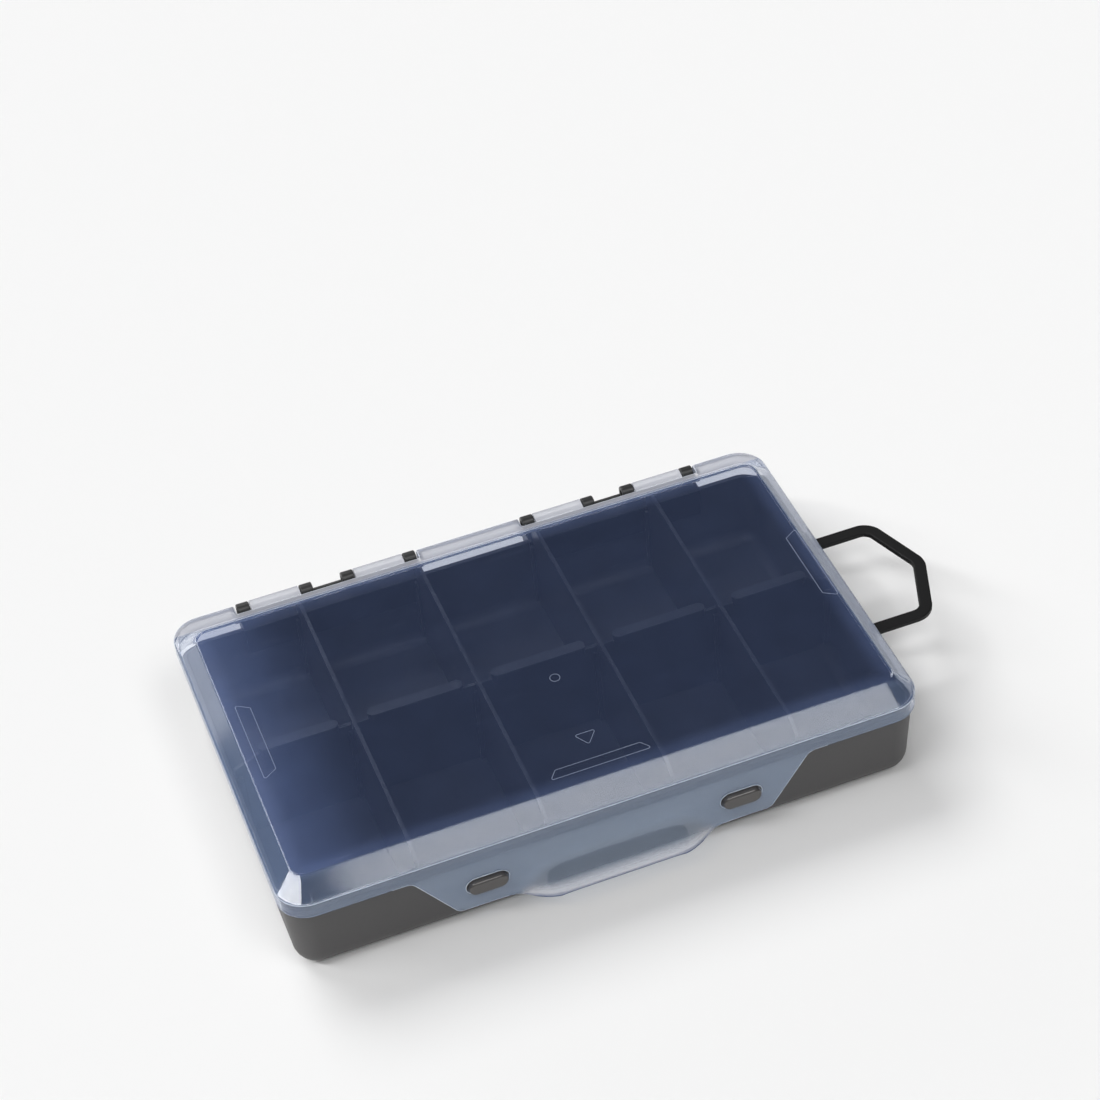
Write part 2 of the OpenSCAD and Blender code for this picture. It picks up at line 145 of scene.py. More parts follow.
class LatchSizes(PropertyGroup):
    top_half: length("Upper half width", "Half the flap's width at the rim", 85.5 * MM)
    low_half: length("Lower half width", "Half the flap's width at its lower edge", 68 * MM)
    top_bend: length("Upper bend", "Radius where the flap's sides meet the rim", 5 * MM)
    low_bend: length("Lower bend", "Radius of the flap's lower corners", 4 * MM)
    low_z: length("Lower edge", "Height of the flap's lower edge", FLAP_LOW.z + 1 * MM)
    thick: length("Thickness", "Thickness of the flap", 1.2 * MM)
    stud_x: length("Stud place", "From the box's middle to a stud's", (STUD_LOW.x + STUD_HIGH.x) / 2)
    stud_z: length("Stud height", "Height of the studs' middle", (STUD_LOW.z + STUD_HIGH.z) / 2)
    stud_l: length("Stud length", "Length of a stud", STUD_HIGH.x - STUD_LOW.x)
    stud_h: length("Stud width", "Height of a stud's face", STUD_HIGH.z - STUD_LOW.z)
    slot_gap: length("Slot gap", "Between a stud and its slot", 0.7 * MM)
    lip_reach: length("Lip reach", "How far the pull lip stands out", 8 * MM)
    lip_top_z: length("Lip crease", "Height of the lip's upper crease", 25 * MM)
    lip_top: length("Lip half width above", "Half the lip's width at its upper crease", 33 * MM)
    lip_root: length("Lip half width at the root", "Half the lip's width at its lower root", 43 * MM)
    lip_edge: length("Lip half width at the edge", "Half the width of the lip's free edge", 30 * MM)


class LoopSizes(PropertyGroup):
    width: length("Width", "Over the two arms", 64 * MM)
    reach: length("Reach", "From the pivot to the tip", 41.2 * MM)
    arm: length("Arm", "From the pivot to the sloping side", 30.2 * MM)
    tip: length("Tip", "Flat across the tip", 4 * MM)
    bar: length("Bar width", "Width of the flat bar", 5.6 * MM)
    thick: length("Bar thickness", "Thickness of the flat bar", 2.5 * MM)
    bend: length("Bend radius", "Outer radius of the bends", 10 * MM)
    eye: length("Eye radius", "Radius of the round end of an arm", 2.4 * MM)
    peg: length("Peg radius", "Radius of the loop's pegs", 1.5 * MM)
    lug: length("Lug thickness", "Thickness of the tray's lugs", 3 * MM)
    lug_gap: length("Lug gap", "Between an arm and a lug", 0.3 * MM)


class DividerSizes(PropertyGroup):
    columns: IntProperty(name="Columns", description="Columns of compartments", default=5, min=2)
    thick: length("Thickness", "Thickness of a divider", 1.6 * MM)
    rib: length("Rib width", "Width of a guide rib", 1.4 * MM)
    rib_out: length("Rib depth", "How far a guide rib stands out", 2 * MM)


class Finishes(PropertyGroup):
    clear: colour("Clear plastic", "What one wall of clear plastic lets through", 0.93, 0.94, 0.96)
    panel: colour("Panel tint", "What the polished top panel lets through", 0.65, 0.68, 0.75)
    haze: colour("Haze", "Haze of the clear plastic", 0.35, 0.475, 0.76)
    deep: colour("Panel haze", "Haze of the polished top panel", 0.31, 0.44, 0.88)
    # painted light: this pale haze stands for the bright floor seen through the barrels, the rear shelf and the
    # lower pull lip
    milk: colour("Pale haze", "Haze of the barrels, the shelf and the pull lip", 0.80, 0.81, 0.88)
    slate: colour("Front haze", "Haze of the rim's front and the flap", 0.40, 0.51, 0.69)
    # painted shade: a dark line along the pull lip's free edge
    painted_edge_shade: colour("Edge haze", "The pull lip's free edge", 0.10, 0.14, 0.26)
    # painted highlight: the pale colour of the beads and raised outlines stands for light caught on rounded
    # edges
    edge: colour("Moulded edges", "Bright raised lines on the lid", 0.78, 0.83, 0.92)
    tray: colour("Tray", "Dark grey plastic of the tray", 0.086, 0.084, 0.085)
    # painted shade: the tray's plastic made darker for the knuckles and brackets
    hinge: colour("Knuckles", "Near-black plastic of the hinge knuckles", 0.03, 0.03, 0.031)
    divider: colour("Dividers", "Near-black plastic of the dividers", 0.07, 0.07, 0.075)
    stud: colour("Studs", "Bronze grey of the latch studs", 0.07, 0.064, 0.062)
    loop: colour("Loop", "Black plastic of the loop", 0.007, 0.007, 0.0075)
    floor: colour("Floor", "Pale floor", 0.90, 0.90, 0.90)


# ---------------------------------------------------------------- shapes


def unit(v):
    """Vectors divided by their lengths; a vector of no length stays as it is."""
    return v / np.maximum(np.linalg.norm(v, axis=-1, keepdims=True), 1e-12)


def eased(share):
    """A share clipped to 0 to 1 and eased at both ends: three squares less two cubes of it."""
    share = np.clip(share, 0, 1)
    return share * share * (3 - 2 * share)


def raised(plan, third):
    """Plane points with their third coordinate added."""
    return np.concatenate([plan, np.broadcast_to(third, plan.shape[:-1])[..., None]], -1)


def arc(x, y, radius, first, last, count):
    """Points of an arc about (x, y), from the first to the last angle in degrees."""
    a = np.radians(np.linspace(first, last, count))
    return np.stack([x + radius * np.cos(a), y + radius * np.sin(a)], -1)


def rounded(corners, radii, steps, closed=True):
    """Rounds the corners of outlines. corners is (..., M, 2) and radii (..., M).

    Each corner becomes steps + 1 points of the arc that touches its two sides: the centre lies on the
    bisector at radius / sin(half the angle), and the arc turns by 180 degrees less the angle. A corner
    that is straight, or has no radius, gives the same point again. An open outline keeps its two ends.
    """
    corners = np.asarray(corners, float)
    back = unit(np.roll(corners, 1, -2) - corners)
    ahead = unit(np.roll(corners, -1, -2) - corners)
    half = 0.5 * np.arccos(np.clip((back * ahead).sum(-1), -1, 1))
    straight = half > 1.565
    half = np.where(straight | (half < 1e-6), 1, half)
    r = np.where(straight, 0, radii)
    centre = corners + unit(back + ahead) * (r / np.sin(half))[..., None]
    start = corners + back * (r / np.tan(half))[..., None] - centre
    side = np.sign(back[..., 1] * ahead[..., 0] - back[..., 0] * ahead[..., 1])
    first = np.arctan2(start[..., 1], start[..., 0])[..., None]
    angle = first + (side * (math.pi - 2 * half))[..., None] * np.linspace(0, 1, steps + 1)
    points = centre[..., None, :] + r[..., None, None] * np.stack([np.cos(angle), np.sin(angle)], -1)
    if not closed:
        inner = points[..., 1:-1, :, :].reshape(*corners.shape[:-2], -1, 2)
        return np.concatenate([corners[..., :1, :], inner, corners[..., -1:, :]], -2)
    return points.reshape(*corners.shape[:-2], -1, 2)


def box_loops(half, front, rear, radius, z, steps=14):
    """Level loops round a box: for each level a rectangle from -half to half and front to rear with
    corners of the given radius, anticlockwise from above. All sizes are arrays of one length."""
    sizes = (np.asarray(size, float) for size in (half, front, rear, radius, z))
    half, front, rear, radius, z = np.broadcast_arrays(*sizes)
    corners = np.array([[-half, front], [half, front], [half, rear], [-half, rear]])
    plan = rounded(corners.transpose(2, 0, 1), np.repeat(radius[:, None], 4, 1), steps)
    return raised(plan, z[:, None])


def offset_line(points, distance):
    """An open line moved sideways to its right by distance, its corners mitred: each corner moves by the
    sum of its two sides' normals over 1 plus their dot product."""
    points = np.asarray(points, float)
    along = unit(np.diff(points, axis=0))
    normal = np.stack([along[:, 1], -along[:, 0]], -1)
    before, after = np.vstack([normal[:1], normal]), np.vstack([normal, normal[-1:]])
    return points + distance * (before + after) / (1 + (before * after).sum(-1, keepdims=True))


def skin(loops, caps=(False, False), ring=False):
    """Quads between neighbouring closed loops. loops is (levels, points, 3). caps closes the first and the
    last loop with one flat face each, and ring joins the last loop to the first."""
    levels, count, _ = loops.shape
    index = np.arange(levels * count).reshape(levels, count)
    low, high = (index, np.roll(index, -1, 0)) if ring else (index[:-1], index[1:])
    quads = np.stack([low, np.roll(low, -1, 1), np.roll(high, -1, 1), high], -1).reshape(-1, 4)
    flat = [index[0][::-1]] * caps[0] + [index[-1]] * caps[1]
    return loops.reshape(-1, 3), quads, flat


def finished(name, parts, material, smooth=32.0):
    """One mesh object from several (points, quads, flat faces) parts. Points that coincide are merged,
    faces are turned outwards, and edges sharper than smooth degrees stay sharp."""
    points, faces, start = [], [], 0
    for verts, quads, flat in parts:
        points.append(verts)
        faces += (quads + start).tolist() + [[int(i) + start for i in face] for face in flat]
        start += len(verts)
    mesh = bpy.data.meshes.new(name)
    mesh.from_pydata(np.concatenate(points).tolist(), [], faces)
    work = bmesh.new()
    work.from_mesh(mesh)
    bmesh.ops.remove_doubles(work, verts=work.verts, dist=2e-6)
    bmesh.ops.dissolve_degenerate(work, edges=work.edges, dist=1e-6)
    bmesh.ops.recalc_face_normals(work, faces=work.faces)
    work.to_mesh(mesh)
    work.free()
    mesh.polygons.foreach_set("use_smooth", np.ones(len(mesh.polygons), bool))
    mesh.set_sharp_from_angle(angle=math.radians(smooth))
    piece = bpy.data.objects.new(name, mesh)
    bpy.context.scene.collection.objects.link(piece)
    mesh.materials.append(material)
    weighted = piece.modifiers.new("Weighted normals", "WEIGHTED_NORMAL")
    weighted.keep_sharp = True
    weighted.weight = 80
    return piece


def prism(outline, half_width, edge, axis="x", steps=4, hole=None):
    """A plate from a closed outline, with rounded edges, centred on its own middle plane.

    The outline is pulled in by edge * (1 - cos a) while the plane moves out by edge * sin a. hole is a
    second outline with as many points: the plate is then open there. axis is the plate's normal, and
    outline holds the other two coordinates in the order y z, x z or x y."""
    outline = np.asarray(outline, float)
    ahead, behind = np.roll(outline, -1, 0) - outline, outline - np.roll(outline, 1, 0)
    along = unit(unit(ahead) + unit(behind))
    area = (outline[:, 0] * np.roll(outline[:, 1], -1) - np.roll(outline[:, 0], -1) * outline[:, 1]).sum()
    normal = np.stack([along[:, 1], -along[:, 0]], -1) * np.sign(area)
    a = np.linspace(0, math.pi / 2, steps + 1)[:, None, None]
    plan = outline - normal * edge * (1 - np.cos(a))
    depth = half_width - edge + edge * np.sin(a[:, 0])
    loops = [raised(plan, depth)]
    if hole is not None:
        loops += [raised(hole, half_width)[None], raised(hole, 0)[None]]
    upper = np.concatenate(loops)
    lower = upper * [1, 1, -1]
    if hole is None:
        loops = np.concatenate([lower[::-1], upper])
        points, quads, flat = skin(loops, caps=(True, True))
    else:
        loops = np.concatenate([lower[:-1][::-1], upper])
        points, quads, flat = skin(loops, ring=True)
    order = {"x": [2, 0, 1], "y": [0, 2, 1], "z": [0, 1, 2]}[axis]
    return points[:, order], quads, flat


def moved(part, x=0.0, y=0.0, z=0.0):
    """A part carried to another place."""
    points, quads, flat = part
    return points + np.array([x, y, z]), quads, flat


def lathe(profile, count=40):
    """A solid turned about an axis along Y: profile holds (place along it, radius) pairs."""
    profile = np.asarray(profile, float)
    a = np.linspace(0, 2 * math.pi, count, endpoint=False)
    ring = np.stack([np.zeros_like(a), np.cos(a), np.sin(a)], -1)
    loops = profile[:, None, 1:] * ring + profile[:, None, :1] * np.array([1.0, 0, 0])
    points, quads, flat = skin(loops, caps=(True, True))
    return points[:, [1, 0, 2]], quads, flat


def oblong(length_, height, count=24):
    """Outline of an oblong with round ends, anticlockwise."""
    a = np.concatenate([np.linspace(-0.5, 0.5, count), np.linspace(0.5, 1.5, count)]) * math.pi
    side = np.repeat([1, -1], count) * (length_ - height) / 2
    return np.stack([side + height / 2 * np.cos(a), height / 2 * np.sin(a)], -1)


def bead(line, radius, closed, count=8):
    """A thin round bead along a line: a circle carried along it, square to its direction. Points that
    repeat the one before are left out."""
    line = line[np.linalg.norm(line - np.roll(line, 1, 0), axis=-1) > 1e-6]
    if closed:
        along = unit(np.roll(line, -1, 0) - np.roll(line, 1, 0))
    else:
        along = unit(np.gradient(line, axis=0))
    first = unit(np.cross(along, [0.0, 1.0, 0.0]))
    second = np.cross(along, first)
    a = np.linspace(0, 2 * math.pi, count, endpoint=False)[None, :, None]
    loops = line[:, None] + radius * (first[:, None] * np.cos(a) + second[:, None] * np.sin(a))
    return skin(loops, caps=(not closed, not closed), ring=closed)


# ---------------------------------------------------------------- the clear lid with its flap


STEPS = 10  # along each corner seen from above
BEND = 6  # along each rounding of the lid's section
EDGE_LEVELS = 7  # close levels below the panel's edge, which keep the slope's shading flat
MID_CREASE, MID_EDGE = BEND // 2, BEND + 1 + EDGE_LEVELS + BEND // 2
FRONT_COLUMNS = 230
CORNERS = 12  # two in front, one at each end of the rear, and four at each hinge's notch


def lid_levels(s, inset):
    """Side, front and rear offsets and heights of the lid's crown, from the crease up to the top panel,
    for a skin lying inset below the outer one. Each profile is an upright rim, a slope and the panel; the
    rear one has the flat shelf before its slope. Returns offsets (levels, 3), heights (levels, 3) and the
    plan radius of each level."""
    crease, top, low = s.rim_z + s.rim_h, s.top_z, s.rim_z
    far = 10 * MM
    profiles = []
    for run, shelf in ((s.slope_side, 0), (s.slope_front, 0), (s.slope_rear, s.shelf)):
        line = [[0, low], [0, crease], [shelf, crease], [shelf + run, top], [shelf + run + far, top]]
        if not shelf:
            del line[2]
        line = offset_line(line, inset)
        crease_r, edge_r = max(s.crease - inset, 0.3 * MM), max(s.edge - inset, 0.3 * MM)
        if shelf:
            radii = [0, crease_r, 1 * MM + inset, edge_r, 0]
            profiles.append(rounded(line, radii, BEND, closed=False)[1:])
        else:
            line = rounded(line, [0, crease_r, edge_r, 0], BEND, closed=False)
            low_end, high_end = line[BEND + 1], line[BEND + 2]
            close = low_end + (high_end - low_end) * (np.arange(1, EDGE_LEVELS + 1) * 0.015)[:, None]
            profiles.append(np.insert(line, BEND + 2, close, 0)[1:])
    profiles = np.stack(profiles, 1)
    rise = np.clip((profiles[:, 0, 1] - crease + inset) / (top - crease), 0, 1)
    radius = (s.corner - inset) * (1 - rise) + s.crown_corner * rise
    radius[: BEND + 1] = s.corner - np.maximum(profiles[: BEND + 1, 0, 0], inset)
    return profiles[..., 0], profiles[..., 1], radius


def lid_plan(s, offsets, radii, collapse):
    """Closed plan loops of the lid: front left, front right and rear right corner, the four corners of the
    right hinge's notch, those of the left one, and the rear left corner. offsets are the side, front and
    rear insets of each level. collapse, 0 or 1 for each level, flattens the notches onto the rear line."""
    side, front, rear = offsets.T
    half, depth = s.length / 2, s.depth / 2
    corners = [[-half + side, -depth + front], [half - side, -depth + front], [half - side, depth - rear]]
    rounds = [radii, radii, radii]
    deep = s.notch_deep * (1 - collapse)
    spread = np.where(collapse > 0, 0, rear)
    for middle in (s.notch_x, -s.notch_x):
        for end, inner in ((1, 0), (1, 1), (-1, 1), (-1, 0)):
            x = middle + end * (s.notch_half + spread)
            corners.append([x, depth - rear - inner * deep])
            fillet = 0.8 * MM + (rear if inner else -rear)
            rounds.append(np.where(collapse > 0, 0, np.maximum(fillet, 0.05 * MM)))
    corners.append([-half + side, depth - rear])
    rounds.append(radii)
    corners = np.stack([np.stack(np.broadcast_arrays(*c), -1) for c in corners], -2)
    return rounded(corners, np.stack(rounds, -1), STEPS)


def with_front_run(loops, inner_x):
    """Adds the evenly spaced front columns between the first and the second corner of each loop."""
    first, rest = loops[:, : STEPS + 1], loops[:, STEPS + 1 :]
    run = np.broadcast_to(first[:, -1:], (len(loops), len(inner_x), loops.shape[-1])).copy()
    run[..., 0] = inner_x
    return np.concatenate([first, run, rest], 1)


def crown(s, inset):
    """The lid's crown as closed loops, from the crease up: each level's plan, with its height running from
    the side's profile to the front's or the rear's round each corner. Returns the loops, the corner each
    point belongs to, its share of the way round that corner, and the front columns."""
    offsets, heights, radii = lid_levels(s, inset)
    columns = np.linspace(-96 * MM, 96 * MM, FRONT_COLUMNS)
    collapse = (np.arange(len(offsets)) > BEND).astype(float)
    plan = with_front_run(lid_plan(s, offsets, radii, collapse), columns)
    later = np.repeat(np.arange(1, CORNERS), STEPS + 1)
    corner_of = np.concatenate([np.zeros(STEPS + 1 + len(columns), int), later])
    turn = np.linspace(0, 1, STEPS + 1)
    share = np.concatenate([turn, np.ones(len(columns)), np.tile(turn, CORNERS - 1)])
    side, front, rear = heights.T[..., None]
    z = np.where(corner_of == 0, side + (front - side) * share, rear)
    z = np.where(corner_of == 1, front + (side - front) * share, z)
    z = np.where(corner_of == 2, side + (rear - side) * share, z)
    z = np.where(corner_of == CORNERS - 1, rear + (side - rear) * share, z)
    return raised(plan, z), corner_of, share, columns


def lip_height(t, x, z):
    """How far the pull lip stands out at (x, z): the lower of its sloping front and its two flanks, both
    flat, blended over a rounding and faded out towards the rim."""
    drop = (t.lip_top_z - z) / (t.lip_top_z - t.low_z)
    front = t.lip_reach * drop
    half_width = t.lip_top + (t.lip_root - t.lip_top) * drop
    flank = (half_width - np.abs(x)) * t.lip_reach / (t.lip_root - t.lip_edge)
    fold, root = 2.6 * MM, 1.8 * MM
    both = 0.5 * (front + flank - np.sqrt((front - flank) ** 2 + fold**2)) + 0.25 * MM
    out = 0.5 * (both + np.sqrt(both**2 + root**2))
    return np.minimum(out, t.lip_reach - 0.05 * MM) * eased((33 * MM - z) / (4 * MM))


def flap_side(s, t, top_end, low_end):
    """The flap's right-hand border: along the rim's underside from top_end, down its slanting side, and
    along its lower edge to low_end."""
    corners = [[top_end, s.rim_z], [t.top_half, s.rim_z], [t.low_half, t.low_z], [low_end, t.low_z]]
    return rounded(corners, [0, t.top_bend, t.low_bend, 0], 12, closed=False)


def lid_mesh(s, t):
    """The lid and its flap as one closed moulding: the crown's loops, rows down the rim and the flap to
    their free edge, a round edge, and the same again on the inside."""
    top_row = s.rim_z + 3.2 * MM
    edge = 0.5 * MM
    outer, corner_of, share, columns = crown(s, 0)
    inner = crown(s, s.wall)[0]
    lift = np.zeros(len(share))
    for first, second in ((4, 5), (8, 9)):
        lift[corner_of == first] = share[corner_of == first]
        lift[corner_of == second] = 1 - share[corner_of == second]

    # rows down the rim; over the front columns they run on down the flap
    share_down = np.linspace(0, 1, 46)[:, None]
    foot = s.rim_z + edge + lift * s.notch_lift
    rows_z = top_row + (foot - top_row) * share_down
    rows = np.repeat(outer[:1], len(share_down), 0)
    rows[..., 2] = rows_z
    right = flap_side(s, t, 100 * MM, 0)[:-1]
    outline = np.concatenate([right * [-1, 1], right[::-1]])
    reach = np.concatenate([[0], np.cumsum(np.linalg.norm(np.diff(outline, axis=0), axis=1))])
    ends = np.interp([columns[0], columns[-1]], outline[:, 0], reach)
    along = np.linspace(*ends, FRONT_COLUMNS)
    border = np.stack([np.interp(along, reach, outline[:, 0]), np.interp(along, reach, outline[:, 1])], -1)
    tangent = unit(np.gradient(border, axis=0))
    border += np.stack([-tangent[:, 1], tangent[:, 0]], -1) * edge
    lip = eased((t.lip_root - np.abs(border[:, 0])) / (8 * MM))
    border[:, 1] -= 1 * MM * lip * (border[:, 1] < t.low_z + 2 * MM)
    front = slice(STEPS + 1, STEPS + 1 + FRONT_COLUMNS)
    flap = rows[:, front]
    flap[..., 0] = columns + (border[:, 0] - columns) * share_down
    flap[..., 2] = top_row + (border[:, 1] - top_row) * share_down
    flap[..., 1] = -s.depth / 2 - lip_height(t, flap[..., 0], flap[..., 2])

    # the inside: the rim's inner outline, and the flap's own thickness along its normal
    back = np.repeat(inner[:1], len(share_down), 0)
    back[..., 2] = rows_z
    normal = unit(np.cross(np.gradient(flap, axis=1), np.gradient(flap, axis=0)))
    normal *= -np.sign(normal[..., 1:2])
    thick = s.wall + (t.thick - s.wall) * eased((s.rim_z + 0.9 * MM - flap[..., 2]) / (0.9 * MM))
    back[:, front] = flap - normal * thick[..., None]
    middle, half = (rows[-1] + back[-1]) / 2, (rows[-1] - back[-1]) / 2
    outwards = unit(rows[-1] - rows[-2])
    a = np.linspace(0, math.pi, 9)[1:-1, None, None]
    round_edge = middle + half * np.cos(a) + outwards * edge * np.sin(a)
    loops = np.concatenate([outer[::-1], rows, round_edge, back[::-1], inner])
    return skin(loops, caps=(True, True))


# ---------------------------------------------------------------- materials


class Value:
    """An output socket of a node sheet. Arithmetic on it adds Math nodes to the sheet."""

    def __init__(self, sheet, socket):
        self.sheet = sheet
        self.socket = socket

    def math(self, operation, *others):
        inputs = dict(enumerate((self, *others)))
        return self.sheet.value("ShaderNodeMath", {"operation": operation}, inputs)

    def __add__(self, other):
        return self.math("ADD", other)

    def __sub__(self, other):
        return self.math("SUBTRACT", other)

    def __rsub__(self, other):
        return self.sheet.value("ShaderNodeMath", {"operation": "SUBTRACT"}, {0: other, 1: self})

    def __mul__(self, other):
        return self.math("MULTIPLY", other)

    def __truediv__(self, other):
        return self.math("DIVIDE", other)

    def __pow__(self, other):
        return self.math("POWER", other)

    __radd__ = __add__
    __rmul__ = __mul__

    def clamped(self, low=0.0, high=1.0):
        return self.math("MAXIMUM", low).math("MINIMUM", high)

    def toward(self, goal, zone):
        """Itself where zone is 0, and goal where zone is 1."""
        return self + (goal - self) * zone

    def step(self, low, high):
        """0 below low, 1 above high, smooth between."""
        share = ((self - low) / (high - low)).clamped()
        return share * share * (3 - 2 * share)


class Sheet:
    """The node tree of a material or of the world."""

    def __init__(self, owner):
        owner.use_nodes = True
        self.tree = owner.node_tree
        self.tree.nodes.clear()

    def node(self, kind, settings=None, inputs=None):
        """One node of the given type: its settings first, then its inputs by name or number, each a plain
        value or another node's Value."""
        node = self.tree.nodes.new(kind)
        for name, setting in (settings or {}).items():
            setattr(node, name, setting)
        for name, given in (inputs or {}).items():
            if isinstance(given, Value):
                self.tree.links.new(given.socket, node.inputs[name])
            else:
                node.inputs[name].default_value = given
        return node

    def value(self, kind, settings=None, inputs=None, output=0):
        return Value(self, self.node(kind, settings, inputs).outputs[output])

    def coords(self):
        return self.value("ShaderNodeTexCoord", output="Object")

    def xyz(self, vector):
        """The three numbers of a vector."""
        parts = self.node("ShaderNodeSeparateXYZ", None, {0: vector})
        return [Value(self, socket) for socket in parts.outputs]

    def noise(self, where, scale, detail=2.0, roughness=0.5):
        inputs = {"Vector": where, "Scale": scale, "Detail": detail, "Roughness": roughness}
        return self.value("ShaderNodeTexNoise", None, inputs)

    def principled(self, inputs):
        return self.value("ShaderNodeBsdfPrincipled", None, inputs)

    def through(self, red, green, blue):
        """Lets rays straight through, tinted."""
        return self.value("ShaderNodeBsdfTransparent", None, {"Color": (red, green, blue, 1)})

    def blend(self, share, first, second):
        """A surface between two surfaces."""
        return self.value("ShaderNodeMixShader", None, {0: share, 1: first, 2: second})

    def mixed(self, share, first, second):
        """A colour between two colours."""
        return self.value("ShaderNodeMix", {"data_type": "RGBA"}, {0: share, 6: first, 7: second}, output=2)

    def scaled(self, shade, factor):
        """A constant colour times a varying number."""
        return self.mixed(factor, (0, 0, 0, 1), shade)

    def bump(self, height, strength, distance):
        inputs = {"Height": height, "Strength": strength, "Distance": distance}
        return self.value("ShaderNodeBump", None, inputs)

    def finish(self, surface):
        self.node("ShaderNodeOutputMaterial", None, {"Surface": surface})


def moulded_plastic(name, base, roughness, grain, grain_size, depth, sheen, lit_top_z=None):
    """Opaque moulded plastic: a fine spark-eroded grain in its bump, slow unevenness of colour, and
    roughness that follows both. Faces near the given top height get a painted highlight: their colour is made
    paler."""
    material = bpy.data.materials.new(name)
    m = Sheet(material)
    where = m.coords()
    slow = m.noise(where, 45, 3)
    fine = m.noise(where, 1 / grain_size, 2, 0.6)
    flecks = m.noise(where, 0.33 / grain_size, 1)
    level = 0.88 + slow * 0.144 + (fine - 0.5) * grain
    # painted highlight: faces near the top height are made paler, standing for light falling on them
    if lit_top_z:
        top_highlight = m.xyz(where)[2].step(lit_top_z - 0.5 * MM, lit_top_z - 0.1 * MM)
        level = level * (1 + top_highlight * (0.15 + slow * 0.5))
    headroom = 2.5
    brightest = tuple(min(1, part * headroom) for part in base[:3]) + (1,)
    bsdf = m.principled(
        {
            "Base Color": m.scaled(brightest, (level / headroom).clamped()),
            "Roughness": (roughness + (slow - 0.5) * 0.12 + (flecks - 0.5) * 0.1).clamped(0.05, 1),
            "Specular IOR Level": sheen,
            "Normal": m.bump(fine * 0.7 + flecks * 0.3, 0.5, depth),
        }
    )
    m.finish(bsdf)
    return material


def lid_zones(m, f, lid, where, share, flow, scratch):
    """The lid's haze by place: its share, starting from the plain plastic's, its shade, the tint of the
    plastic, and how much of the crown a point is in. Each zone is a product of eased steps in x, y and z.
    The pale haze of the rear shelf and of the pull lip's lower part is painted light, standing for the
    bright floor seen through them, and a dark line along the lip's free edge is painted shade."""
    x, y, z = m.xyz(where)
    half, depth = lid.length / 2, lid.depth / 2
    front, rear = lid.slope_front - depth, depth - lid.shelf - lid.slope_rear
    aside = x.math("ABSOLUTE") - (half - lid.slope_side)
    outside = aside.math("MAXIMUM", (y - (front + rear) / 2).math("ABSOLUTE") - (rear - front) / 2)

    # the polished panel, a little cloudier at its margin and its left end
    panel = 1 - outside.step(-0.4 * MM, 0.2 * MM)
    left_end = 1 - x.step(lid.slope_side - half, lid.slope_side - half + 60 * MM)
    margin = outside.step(-9 * MM, 0) * 0.045 + left_end * left_end * 0.09
    share = share.toward((0.043 + margin) * (0.75 + flow * 0.5) + scratch * 0.02, panel)
    shade = m.mixed(panel, tuple(f.haze), tuple(f.deep))
    tint = m.mixed(panel, tuple(f.clear), tuple(f.panel))

    # the rear shelf, with a pale haze as painted light, the cloudy foot of the rear wall and the clearer front
    # slope
    shelf = y.step(depth - lid.shelf - 1 * MM, depth - lid.shelf) * z.step(40 * MM, 42 * MM)
    rear_foot = y.step(depth - 2.4 * MM, depth - 1.6 * MM) * (1 - z.step(37 * MM, 39 * MM))
    front_slope = z.step(43 * MM, 45 * MM) * (1 - y.step(front - 2 * MM, front - 1 * MM))
    share = share.toward(0.34, shelf).toward(0.5, rear_foot)

    # the rim's front with the flap, and the pull lip: painted light makes the lip paler below, and a painted
    # shade line runs along its free edge
    front_wall = 1 - y.step(1 * MM - depth, 2 * MM - depth)
    lip = 1 - y.step(-depth - 1.6 * MM, -depth - 0.6 * MM)
    low = 1 - z.step(12 * MM, 17 * MM)
    # painted shade: a dark line along the lip's free edge
    painted_edge_line = 1 - z.step(FLAP_LOW.z + 0.5 * MM, FLAP_LOW.z + 0.9 * MM)
    share = (share + 0.11 * front_wall) * (1 - 0.25 * front_slope)
    share = share.toward(0.16 + low * 0.14, lip).toward(0.75, painted_edge_line)
    shade = m.mixed(front_wall, shade, tuple(f.slate))
    # painted light: pale haze on the lower lip and the rear shelf
    shade = m.mixed((lip * low).math("MAXIMUM", shelf), shade, tuple(f.milk))
    shade = m.mixed(painted_edge_line, shade, tuple(f.painted_edge_shade))
    return share, shade, tint, z.step(34 * MM, 38 * MM)


